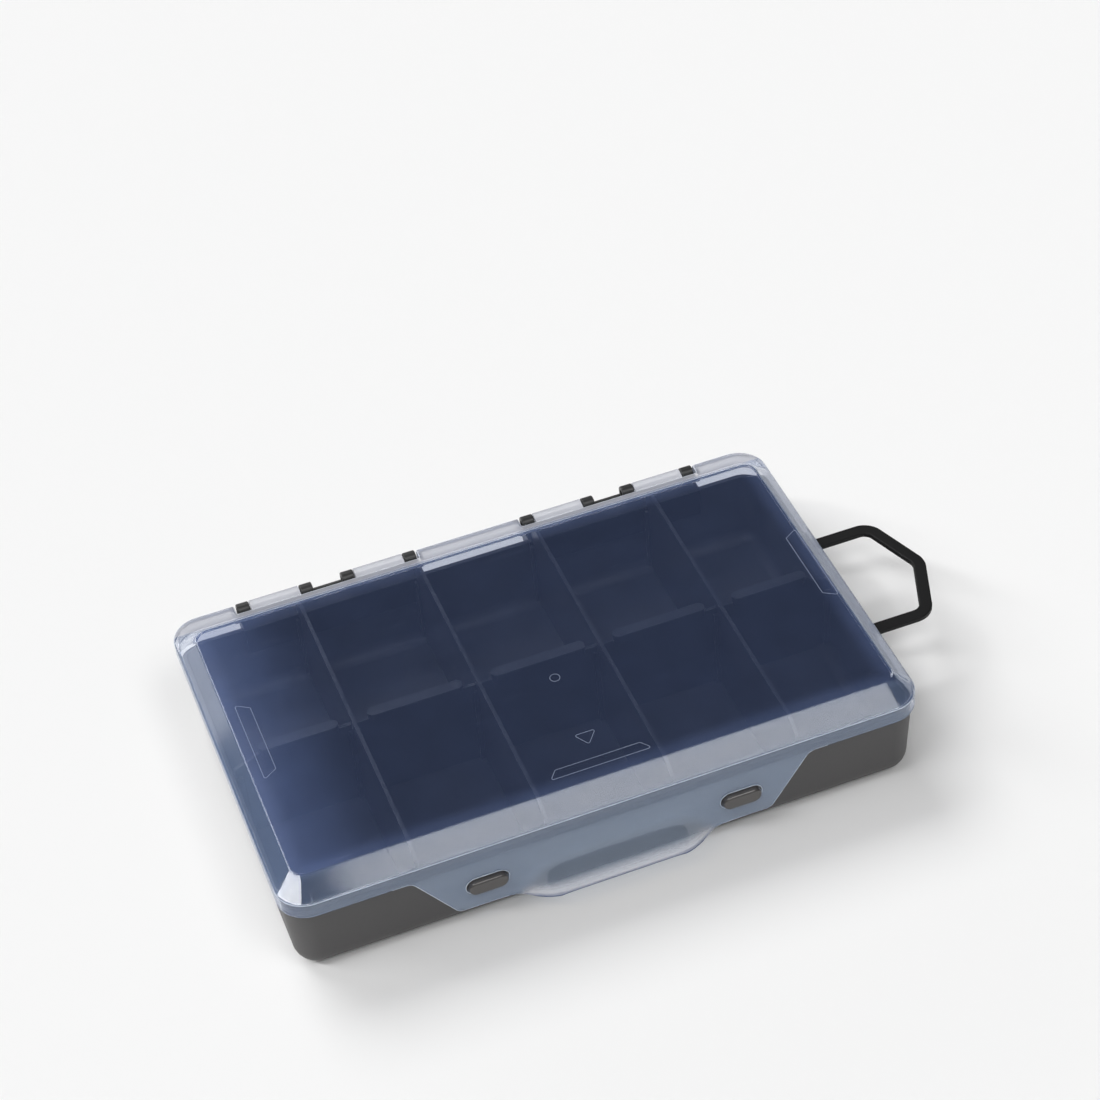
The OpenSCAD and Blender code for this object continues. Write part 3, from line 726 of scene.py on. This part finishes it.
def clear_plastic(name, f, cloud, haze, lid=None):
    """Clear tinted plastic: bends light as solid plastic does, and has a coloured haze with soft flow marks
    and a few fine scratches. With the lid's sizes its zones differ in haze and tint. Rays from lamps and
    off dull surfaces go straight through, so that what lies under it is lit, less so under the crown."""
    material = bpy.data.materials.new(name)
    m = Sheet(material)
    where = m.coords()
    wave = m.noise(where, 24, 1)
    flow = m.noise(where, 60, 4, 0.6)
    drawn_out = {"Vector": where, "Rotation": (0, 0, 0.5), "Scale": (30, 900, 60)}
    scratch = m.noise(m.value("ShaderNodeMapping", None, drawn_out), 1, 2).step(0.69, 0.76)
    share = cloud * (0.8 + flow * 0.4) + scratch * 0.04
    shade, tint = tuple(haze), tuple(f.clear)
    passing = m.through(0.90, 0.92, 0.95)
    if lid:
        share, shade, tint, under_crown = lid_zones(m, f, lid, where, share, flow, scratch)
        passing = m.blend(under_crown, passing, m.through(0.42, 0.44, 0.49))
    glass = m.principled(
        {
            "Base Color": tint,
            "Roughness": (0.04 + scratch * 0.12 + (wave - 0.5) * 0.02).clamped(0.01, 1),
            "IOR": 1.49,
            "Transmission Weight": 1.0,
            "Normal": m.bump(wave, 0.25, 0.6 * MM),
        }
    )
    milk = m.principled({"Base Color": shade, "Roughness": 0.6, "Specular IOR Level": 0.0})
    path = m.node("ShaderNodeLightPath")
    lamps = Value(m, path.outputs["Is Shadow Ray"]).math("MAXIMUM", Value(m, path.outputs["Is Diffuse Ray"]))
    m.finish(m.blend(lamps, m.blend(share.clamped(), glass, milk), passing))
    return material


def painted_highlight_plastic(name, shade, cover):
    """Narrow raised lines in a pale colour: a painted highlight, standing for the clear plastic catching light
    on their rounded tops.
    """
    material = bpy.data.materials.new(name)
    m = Sheet(material)
    uneven = m.noise(m.coords(), 500, 2)
    line = m.principled({"Base Color": tuple(shade), "Roughness": 0.25})
    m.finish(m.blend((cover * (0.6 + uneven * 0.8)).clamped(), m.through(1, 1, 1), line))
    return material


def own_material(name, make, *settings):
    """The material of that name, made with these settings on first use."""
    return bpy.data.materials.get(name) or make(name, *settings)


def lid_material(s, f):
    return own_material("lid_moulding", clear_plastic, f, 0.18, f.haze, s)


def raised_lines(f):
    return own_material("raised_lines", painted_highlight_plastic, f.edge, 0.85)


# ---------------------------------------------------------------- operators


class LureBoxOperator:
    bl_options = {"REGISTER"}

    def sizes(self, context):
        return context.scene.lure_box_lid, context.scene.lure_box_latch, context.scene.lure_box_finish


class LUREBOX_OT_lid(LureBoxOperator, Operator):
    """Builds the clear lid and its latch flap as one moulding, bending at the rim's underside"""

    bl_idname = "lure_box.lid"
    bl_label = "Lid and flap"

    def execute(self, context):
        s, t, f = self.sizes(context)
        lid = finished("clear_lid", [lid_mesh(s, t)], lid_material(s, f), 38)
        slot = oblong(t.stud_l + 2 * t.slot_gap, t.stud_h + 2 * t.slot_gap)
        punch = prism(slot, 4 * MM, 0.2 * MM, "y")
        punches = [moved(punch, side * t.stud_x, -s.depth / 2, t.stud_z) for side in (-1, 1)]
        cutter = finished("slot_cutter", punches, lid_material(s, f))
        cut = lid.modifiers.new("Stud slots", "BOOLEAN")
        cut.operation, cut.solver, cut.object = "DIFFERENCE", "EXACT", cutter
        lid.modifiers.move(1, 0)
        with context.temp_override(object=lid, active_object=lid):
            bpy.ops.object.modifier_apply(modifier=cut.name)
        bpy.data.objects.remove(cutter)
        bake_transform(lid)
        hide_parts("lid", "latch_flap")
        return {"FINISHED"}


class LUREBOX_OT_rims(LureBoxOperator, Operator):
    """Draws thin round beads along the lid's crease and panel, the flap's slanting sides and the studs' slots,
    coloured as painted highlights of those rounded edges
    """

    bl_idname = "lure_box.rims"
    bl_label = "Moulded beads"

    def execute(self, context):
        s, t, f = self.sizes(context)
        face = -s.depth / 2
        parts = []
        grow = 2 * t.slot_gap + 0.3 * MM
        for side in (-1, 1):
            slot = oblong(t.stud_l + grow, t.stud_h + grow) + [side * t.stud_x, t.stud_z]
            parts.append(bead(raised(slot, face + 0.05 * MM)[:, [0, 2, 1]], 0.18 * MM, True))
            down = flap_side(s, t, t.top_half + 8 * MM, t.lip_root + 4 * MM) * [side, 1] + [0, 0.15 * MM]
            parts.append(bead(raised(down, face + 0.35 * MM)[:, [0, 2, 1]], 0.2 * MM, False))
        # painted highlight beads along the flap's slanting sides and round the studs' slots
        rims = finished("flap_rims", parts, raised_lines(f), 60)
        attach(rims, "latch_flap")

        # the panel's painted highlight bead runs from its front right corner round the rear to its front left
        # corner
        loops = crown(s, 0.12 * MM)[0]
        crease, edge = loops[MID_CREASE], loops[MID_EDGE]
        last = len(edge) - (CORNERS - 1) * (STEPS + 1) + STEPS // 2
        panel = np.concatenate([edge[last:], edge[: STEPS // 2]])
        lines = [bead(crease, 0.19 * MM, True), bead(panel, 0.15 * MM, False)]
        edges = finished("lid_edges", lines, raised_lines(f), 60)
        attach(edges, "lid")
        return {"FINISHED"}


class LUREBOX_OT_barrels(LureBoxOperator, Operator):
    """Builds the lid's clear hinge barrels with the webs that join them to its rear wall"""

    bl_idname = "lure_box.barrels"
    bl_label = "Hinge barrels"

    def execute(self, context):
        s, _, f = self.sizes(context)
        h = context.scene.lure_box_hinge
        parts = []
        back = arc(HINGE_Y, HINGE_Z, h.radius, -90, 90, 25)
        wall_y = s.depth / 2 - s.notch_deep - 0.3 * MM
        web = [
            [HINGE_Y - 1.2 * MM, HINGE_Z + h.radius * 0.92],
            [wall_y, HINGE_Z + h.radius - 0.9 * MM],
            [wall_y, HINGE_Z + 0.6 * MM],
            [HINGE_Y - h.radius * 0.8, HINGE_Z - h.radius * 0.6],
        ]
        outline = np.concatenate([back, web])
        half = (h.span - h.knuckle) / 2 - h.gap
        for side in (-1, 1):
            for barrel in (-1, 1):
                middle = side * h.place + barrel * h.pitch / 2
                parts.append(moved(prism(outline, half, 0.35 * MM), middle))
        # painted light: the barrels' pale haze stands for the bright floor seen through them
        material = own_material("barrel_moulding", clear_plastic, f, 0.42, f.milk)
        barrels = finished("lid_barrels", parts, material, 40)
        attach(barrels, "lid")
        return {"FINISHED"}


class LUREBOX_OT_marks(LureBoxOperator, Operator):
    """Draws the raised outlines on the top panel: three finger frames, an arrow and the gate ring, coloured as
    painted highlights
    """

    bl_idname = "lure_box.marks"
    bl_label = "Raised outlines"

    def execute(self, context):
        s, _, f = self.sizes(context)
        shapes = []
        for side in (-1, 1):
            shapes.append([[side * 126.8, -22.4], [side * 126.8, 22.4], [side * 121, 18.6], [side * 121, -18.6]])
        shapes.append([[-21.8, -70.8], [21.8, -70.8], [18.3, -66.3], [-18.3, -66.3]])
        shapes.append([[-4.6, -51.9], [-0.6, -58.6], [4.6, -51.9]])
        off = [2.1 * MM, 0]
        outlines = [rounded(np.array(shape) * MM, np.full(len(shape), 0.7 * MM), 5) + off for shape in shapes]
        outlines.append(arc(0, -18 * MM, 2.1 * MM, 0, 360, 41)[:-1] + off)
        width, height = 0.14 * MM, 0.12 * MM
        b = np.linspace(0, 2 * math.pi, 10, endpoint=False)
        parts = []
        for outline in outlines:
            along = unit(np.roll(outline, -1, 0) - np.roll(outline, 1, 0))
            across = np.stack([along[:, 1], -along[:, 0]], -1)
            flat = outline[:, None] + across[:, None] * (width * np.cos(b))[None, :, None]
            parts.append(skin(raised(flat, s.top_z + height * np.sin(b) - height), ring=True))
        marks = finished("lid_outlines", parts, raised_lines(f), 60)
        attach(marks, "lid")
        return {"FINISHED"}


class LUREBOX_OT_tray(LureBoxOperator, Operator):
    """Builds the tray with its upstand, guide ribs, hinge brackets, knuckles and loop lugs"""

    bl_idname = "lure_box.tray"
    bl_label = "Tray"

    def execute(self, context):
        f = context.scene.lure_box_finish
        b, h, g = context.scene.lure_box_tray, context.scene.lure_box_hinge, context.scene.lure_box_loop
        grain = 0.35 * MM
        material = own_material("tray_moulding", moulded_plastic, f.tray, 0.5, 0.10, grain, 0.04 * MM, 0.45)
        # painted shade: the knuckles and brackets take a darker copy of the tray's plastic
        dark = own_material("hinge_moulding", moulded_plastic, f.hinge, 0.36, 0.08, grain, 0.03 * MM, 0.5)
        tray = finished("tray_shell", [self.shell(b)], material, 40)
        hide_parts("base_tray")
        ribs = finished("tray_ribs", self.ribs(context, b), material, 40)
        brackets = finished("hinge_brackets", self.brackets(b, h), dark, 40)
        lugs = finished("loop_lugs", self.lugs(b, g), material, 40)
        for piece in (tray, ribs, brackets, lugs):
            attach(piece, "tray")
        return {"FINISHED"}

    def shell(self, b):
        """Level loops from the middle of the underside out, up the leaning wall, over the shoulder and the
        upstand, and down inside to the floor. Each level is an inset d from the shoulder and a height z."""
        small, top = 0.35 * MM, 0.5 * MM
        inside, crest = b.wall + b.step, b.upstand_z - top
        bowl_in = inside + b.draft + b.bowl
        line = np.concatenate(
            [
                [[60 * MM, 0], [30 * MM, 0], [14 * MM, 0]],
                arc(b.draft + b.foot, b.foot, b.foot, 270, 180, 9),
                arc(small, b.shoulder_z - small, small, 180, 90, 5),
                [[b.step, b.shoulder_z]],
                arc(b.step + top, crest, top, 180, 90, 5),
                arc(inside - top, crest, top, 90, 0, 5),
                arc(bowl_in, b.floor + b.bowl, b.bowl, 180, 270, 9),
                [[30 * MM, b.floor], [60 * MM, b.floor]],
            ]
        )
        d, z = line.T
        radius = np.maximum(b.corner - d, 1.5 * MM)
        loops = box_loops(b.half - d, -b.front + d, b.rear - d, radius, z)
        # the upstand is low along the rear wall
        drop = np.clip((loops[..., 1] - b.rear + 9 * MM) / (5 * MM), 0, 1) * 2.6 * MM
        over = np.clip((loops[..., 2] - b.shoulder_z) / (b.upstand_z - b.shoulder_z), 0, 1)
        loops[..., 2] -= drop * over
        return skin(loops, caps=(True, True))

    def ribs(self, context, b):
        """Pairs of upright guide ribs on the inside walls, each a narrow plate with a rounded edge."""
        d = context.scene.lure_box_divider
        parts = []
        inner = b.wall + b.step
        low, high = b.floor, b.shoulder_z
        gap = d.thick / 2 + 0.15 * MM + d.rib / 2
        out = b.draft + d.rib_out
        half_h, mid_z = (high - low) / 2, (high + low) / 2
        front, rear = -b.front + inner, b.rear - inner
        mid_y = (front + rear) / 2
        root, foot, heel = -0.8 * MM, b.draft + 1.4 * MM, 1.2 * MM - half_h
        plate = rounded(
            [[b.draft + root, 8 * MM - mid_z], [foot, heel], [out, heel], [out, half_h], [root, half_h]],
            np.array([0.3, 0.3, 0.3, 0.6, 0.3]) * MM,
            4,
        )
        pitch = 2 * b.half / d.columns
        for i in range(1, d.columns):
            for s in (-1, 1):
                x = -b.half + i * pitch + s * gap
                parts.append(moved(prism(plate, d.rib / 2, 0.4 * MM), x, front, mid_z))
                parts.append(moved(prism(plate * [-1, 1], d.rib / 2, 0.4 * MM), x, rear, mid_z))
        for end in (-1, 1):
            for s in (-1, 1):
                part = prism(plate * [-end, 1], d.rib / 2, 0.4 * MM, "y")
                parts.append(moved(part, end * (b.half - inner), mid_y + s * gap, mid_z))
        return parts

    def brackets(self, b, h):
        """Each hinge's wedge-shaped bracket behind the rear wall, and its knuckles: a round head on a
        square foot, with a bore for the lid's peg."""
        parts = []
        top = HINGE_Z - h.radius - h.gap
        foot = h.radius - 0.3 * MM
        near, far = HINGE_Y - foot, HINGE_Y + foot
        wall, low = b.rear - b.draft, top - 14 * MM
        root = wall - 3 * MM
        wedge = rounded(
            [[root, low], [wall + 0.4 * MM, low], [far, top - 4.5 * MM], [far, top], [root, top]],
            np.array([0.3, 1, 1, 0.6, 0.3]) * MM,
            5,
        )
        group = (h.pitch + h.span + h.knuckle) / 2
        neck, sunk = HINGE_Z - 1.2 * MM, top - 0.6 * MM
        head = arc(HINGE_Y, HINGE_Z, h.radius, 0, 180, 37)
        knuckle = np.concatenate([head, [[near, neck], [near, sunk], [far, sunk], [far, neck]]])
        axis = np.array([HINGE_Y, HINGE_Z])
        plate = prism(knuckle, h.knuckle / 2, 0.45 * MM, hole=axis + h.bore * unit(knuckle - axis))
        rail_in, rail_low, rail_top = far - 1.5 * MM, top - 1 * MM, top + 1.2 * MM
        rail = [[rail_in, rail_low], [far, rail_low], [far, rail_top], [rail_in, rail_top]]
        rail = prism(rounded(rail, np.full(4, 0.4 * MM), 3), (h.pitch - h.span) / 2, 0.2 * MM)
        for side in (-1, 1):
            parts.append(moved(prism(wedge, group, 0.4 * MM), side * h.place))
            parts.append(moved(rail, side * h.place))
            for barrel in (-1, 1):
                for end in (-1, 1):
                    x = side * h.place + barrel * h.pitch / 2 + end * h.span / 2
                    parts.append(moved(plate, x))
        return parts

    def lugs(self, b, g):
        """A pair of lugs beside each loop arm, running down the end wall, with a bore for the peg."""
        px, pz = LOOP_PIVOT[0], LOOP_PIVOT[2]
        r = 2.6 * MM
        inside, low = b.half - b.draft - 1 * MM, pz - 9 * MM
        tail = [[inside, pz + r - 0.3 * MM], [inside, low], [inside + 1 * MM, low]]
        outline = np.concatenate([arc(px, pz, r, -30, 90, 25), tail])
        parts = []
        for arm in (-1, 1):
            for side in (-1, 1):
                y = arm * (g.width - g.bar) / 2 + side * (g.bar / 2 + g.lug_gap + g.lug / 2)
                parts.append(moved(prism(outline, g.lug / 2, 0.4 * MM, "y"), 0, y))
        far = px + 3.6 * MM
        ledge = [[inside, pz - 3.6 * MM], [far, pz - 0.9 * MM], [far, pz + 0.2 * MM], [inside, pz + 0.6 * MM]]
        ledge = rounded(ledge, np.array([0.1, 0.4, 0.4, 0.1]) * MM, 3)
        half = g.width / 2 - g.bar - g.lug_gap - g.lug / 2
        parts.append(prism(ledge, half, 0.4 * MM, "y"))
        return parts


class LUREBOX_OT_studs(LureBoxOperator, Operator):
    """Builds the two latch studs: oblong buttons with a broad rounded edge"""

    bl_idname = "lure_box.studs"
    bl_label = "Latch studs"

    def execute(self, context):
        _, t, f = self.sizes(context)
        material = own_material("stud_moulding", moulded_plastic, f.stud, 0.2, 0.06, 0.3 * MM, 0.01 * MM, 0.9)
        front, rear = STUD_LOW.y, STUD_HIGH.y
        a = np.linspace(0, math.pi / 2, 7)
        edge = 1.2 * MM
        pull = [0.25 * MM, 0, 0, *(edge * (1 - np.cos(a))), edge + 0.9 * MM, edge + 2 * MM]
        bulge = front + edge - edge * 0.94 * np.sin(a)
        y = [rear, rear - 0.3 * MM, front + edge, *bulge, front + 0.02 * MM, front]
        for name, side in (("left", -1), ("right", 1)):
            loops = []
            for inset, place in zip(pull, y):
                ring = oblong(t.stud_l - 2 * inset, t.stud_h - 2 * inset) + [side * t.stud_x, t.stud_z]
                loops.append(raised(ring, place)[:, [0, 2, 1]])
            stud = finished(f"stud_{name}", [skin(np.stack(loops), caps=(True, True))], material, 45)
            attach(stud, "tray")
            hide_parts(f"latch_stud_{name}")
        return {"FINISHED"}


class LUREBOX_OT_loop(LureBoxOperator, Operator):
    """Builds the folding loop: a flat bar bent round, with an eye and pegs at each end"""

    bl_idname = "lure_box.loop"
    bl_label = "Folding loop"

    def execute(self, context):
        g, f = context.scene.lure_box_loop, context.scene.lure_box_finish
        px, _, pz = LOOP_PIVOT
        half, d = g.width / 2, g.bar / 2
        lean = math.atan2(half - g.tip / 2, g.reach - g.arm)
        # corners of the bar's middle line: arms, sloping sides and tip, all set in by half the bar's width
        tip_half = max(g.tip / 2 - d * math.tan((math.pi / 2 - lean) / 2), 0.4 * MM)
        shoulder = g.arm - d * math.tan(lean / 2)
        line = [[0, half - d], [shoulder, half - d], [g.reach - d, tip_half]]
        line += [[x, -y] for x, y in line[::-1]]
        bend = g.bend - d
        path = rounded(np.array(line), [0, bend, bend * 0.85, bend * 0.85, bend, 0], 12, closed=False)
        along = unit(np.gradient(path, axis=0))
        across = np.stack([along[:, 1], -along[:, 0]], -1)
        thin = g.thick / 2
        section = rounded([[-d, -thin], [d, -thin], [d, thin], [-d, thin]], np.full(4, 0.55 * MM), 4)
        flat = path[:, None] + across[:, None] * section[None, :, :1]
        bar = raised(flat, section[:, 1]) + [px, 0, pz]
        parts = [skin(bar, caps=(True, True))]
        e, end = 0.4 * MM, d + g.lug
        rim = arc(d - e, g.eye - e, e, 90, 0, 5)
        peg = [[d, g.peg], [end - 0.3 * MM, g.peg], [end, g.peg - 0.3 * MM]]
        upper = np.concatenate([rim, peg])
        profile = np.concatenate([upper[::-1] * [-1, 1], upper])
        for arm in (-1, 1):
            parts.append(moved(lathe(profile), px, arm * (half - d), pz))
        material = own_material("loop_moulding", moulded_plastic, f.loop, 0.5, 0.12, 0.3 * MM, 0.04 * MM, 0.25)
        loop = finished("loop_bar", parts, material, 40)
        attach(loop, "carry_loop")
        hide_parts("carry_loop")
        return {"FINISHED"}


class LUREBOX_OT_dividers(LureBoxOperator, Operator):
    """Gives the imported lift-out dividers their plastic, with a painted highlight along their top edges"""

    bl_idname = "lure_box.dividers"
    bl_label = "Dividers"

    def execute(self, context):
        f = context.scene.lure_box_finish
        settings = (f.divider, 0.34, 0.08, 0.5 * MM, 0.03 * MM, 0.5, RAIL_TOP)
        material = own_material("divider_moulding", moulded_plastic, *settings)
        for name, node in sorted(frame["nodes"].items()):
            if "divider" in name:
                node.data.materials.clear()
                node.data.materials.append(material)
        return {"FINISHED"}


# Soft boxes in a ceiling one metre up: place, half sizes, turn, strength, fade and corner radius
CEILING_BOXES = (
    (-0.30, -0.80, 0.25, 0.20, 0.0, 6.5, 0.05, 0.06),  # over the camera, for the floor
    (0.30, -0.62, 0.172, 0.33, 0.0, 4.28, 0.015, 0.1),  # mirrored in the front slope
    (-0.34, 0.95, 0.36, 0.42, 0.0, 4.92, 0.12, 0.06),  # behind, for the rear and the edges
    (-1.43, 0.58, 0.77, 0.05, -0.831, 18.0, 0.02, 0.04),  # two strips, mirrored in the lid's
    (-0.645, -0.16, 0.325, 0.05, -0.57, 18.0, 0.02, 0.04),  # mitred front left corner
)


class LUREBOX_OT_studio(LureBoxOperator, Operator):
    """Sets the pale floor, the soft studio light and the camera"""

    bl_idname = "lure_box.studio"
    bl_label = "Studio"

    def execute(self, context):
        self.floor(context)
        self.light(context)
        self.camera(context)
        return {"FINISHED"}

    def floor(self, context):
        f = context.scene.lure_box_finish
        loops = box_loops([3.0], [-3.0], [3.0], [0.5], [0.0], 6)
        material = bpy.data.materials.new("studio_floor")
        m = Sheet(material)
        grain = m.noise(m.coords(), 30, 2)
        shade = m.scaled(tuple(f.floor), 0.999 + grain * 0.002)
        m.finish(m.principled({"Base Color": shade, "Roughness": 0.9, "Specular IOR Level": 0.1}))
        floor = finished("floor", [skin(loops, caps=(False, True))], material)

    def light(self, context):
        """World light by direction: a dim room with soft boxes, each a rectangle with round corners about
        its own direction, whose edges fade over a small angle. The camera sees a pale backdrop instead."""
        world = bpy.data.worlds.new("studio")
        context.scene.world = world
        m = Sheet(world)
        x, y, z = m.xyz(m.value("ShaderNodeTexCoord", output="Generated"))
        above = z.math("MAXIMUM", 0.02)

        def inside(u, v, half_u, half_v, round_, fade):
            """1 inside a rounded rectangle about the origin, fading to 0 over fade."""
            across = (u.math("ABSOLUTE") - (half_u - round_)).math("MAXIMUM", 0)
            up = (v.math("ABSOLUTE") - (half_v - round_)).math("MAXIMUM", 0)
            return 1 - ((across * across + up * up) ** 0.5 - round_).step(0, fade)

        # a low box behind, to the left of the camera's line
        back_x, back_y = -0.331, 0.944
        behind = y * back_y + x * back_x
        ahead = behind.math("MAXIMUM", 0.02)
        low = inside((x * back_y - y * back_x) / ahead, z / ahead - 0.2, 0.46, 0.09, 0.05, 0.03)
        glow = low * behind.step(0, 0.1) * 2.2
        for at_x, at_y, half_x, half_y, turn, strength, fade, round_ in CEILING_BOXES:
            u, v = x / above - at_x, y / above - at_y
            c, s = math.cos(turn), math.sin(turn)
            box = inside(u * c + v * s, v * c - u * s, half_x, half_y, round_, fade)
            glow = glow + box * z.step(0, 0.1) * strength
        room, backdrop = 0.04, 0.92
        seen = m.value("ShaderNodeLightPath", output="Is Camera Ray")
        strength = (glow + room) * (1 - seen) + seen * backdrop
        sky = m.value("ShaderNodeBackground", None, {"Color": (1, 1, 1, 1), "Strength": strength})
        m.node("ShaderNodeOutputWorld", None, {"Surface": sky})

    def camera(self, context):
        """The camera solved on the photograph: a turn, a rise and a roll about a point over the box."""
        turn, rise, roll = (math.radians(v) for v in (-16.98865, 42.86229, -5.52345))
        ca, sa, ce, se = math.cos(turn), math.sin(turn), math.cos(rise), math.sin(rise)
        back = Vector((sa * ce, -ca * ce, se))
        level = Vector((ca, sa, 0))
        over = back.cross(level)
        right = math.cos(roll) * level + math.sin(roll) * over
        up = math.cos(roll) * over - math.sin(roll) * level
        # in pixels of the photograph: its width, the focal length and how far the point is off its middle
        width, focal, off_x, off_y = 1100, 2778.907, -8.934, -159.688
        distance = 1184.187 * MM
        shift_x, shift_y = off_x * distance / focal, off_y * distance / focal
        place = Vector((0, 0, 15 * MM)) - right * shift_x - up * shift_y + back * distance
        data = bpy.data.cameras.new("photo_camera")
        data.sensor_width = 36
        data.lens = focal / width * data.sensor_width
        data.clip_start = 0.01
        camera = bpy.data.objects.new("photo_camera", data)
        context.scene.collection.objects.link(camera)
        turned = Matrix((right, up, back)).transposed().to_4x4()
        camera.matrix_world = Matrix.Translation(place) @ turned
        context.scene.camera = camera
        context.scene.view_settings.view_transform = "Standard"


class LUREBOX_PT_panel(Panel):
    """Lists the steps that build the box"""

    bl_idname = "LUREBOX_PT_panel"
    bl_label = "Lure box"
    bl_space_type = "VIEW_3D"
    bl_region_type = "UI"
    bl_category = "Lure Box"

    def draw(self, context):
        for step in STEPS_IN_ORDER:
            self.layout.operator(step.bl_idname)
        for name in GROUPS:
            box = self.layout.box()
            group = getattr(context.scene, name)
            for key in group.bl_rna.properties.keys():
                if key not in ("rna_type", "name"):
                    box.prop(group, key)


GROUPS = {
    "lure_box_lid": LidSizes,
    "lure_box_hinge": HingeSizes,
    "lure_box_tray": TraySizes,
    "lure_box_latch": LatchSizes,
    "lure_box_loop": LoopSizes,
    "lure_box_divider": DividerSizes,
    "lure_box_finish": Finishes,
}
STEPS_IN_ORDER = (
    LUREBOX_OT_studio,
    LUREBOX_OT_tray,
    LUREBOX_OT_dividers,
    LUREBOX_OT_studs,
    LUREBOX_OT_lid,
    LUREBOX_OT_rims,
    LUREBOX_OT_barrels,
    LUREBOX_OT_marks,
    LUREBOX_OT_loop,
)


def register():
    for name, group in GROUPS.items():
        bpy.utils.register_class(group)
        setattr(bpy.types.Scene, name, PointerProperty(type=group))
    for kind in (*STEPS_IN_ORDER, LUREBOX_PT_panel):
        bpy.utils.register_class(kind)


def unregister():
    for kind in (LUREBOX_PT_panel, *reversed(STEPS_IN_ORDER)):
        bpy.utils.unregister_class(kind)
    for name, group in reversed(GROUPS.items()):
        delattr(bpy.types.Scene, name)
        bpy.utils.unregister_class(group)


def main():
    """Builds the whole box."""
    register()
    for step in STEPS_IN_ORDER:
        getattr(bpy.ops.lure_box, step.bl_idname.split(".")[1])()


if __name__ == "__main__":
    main()
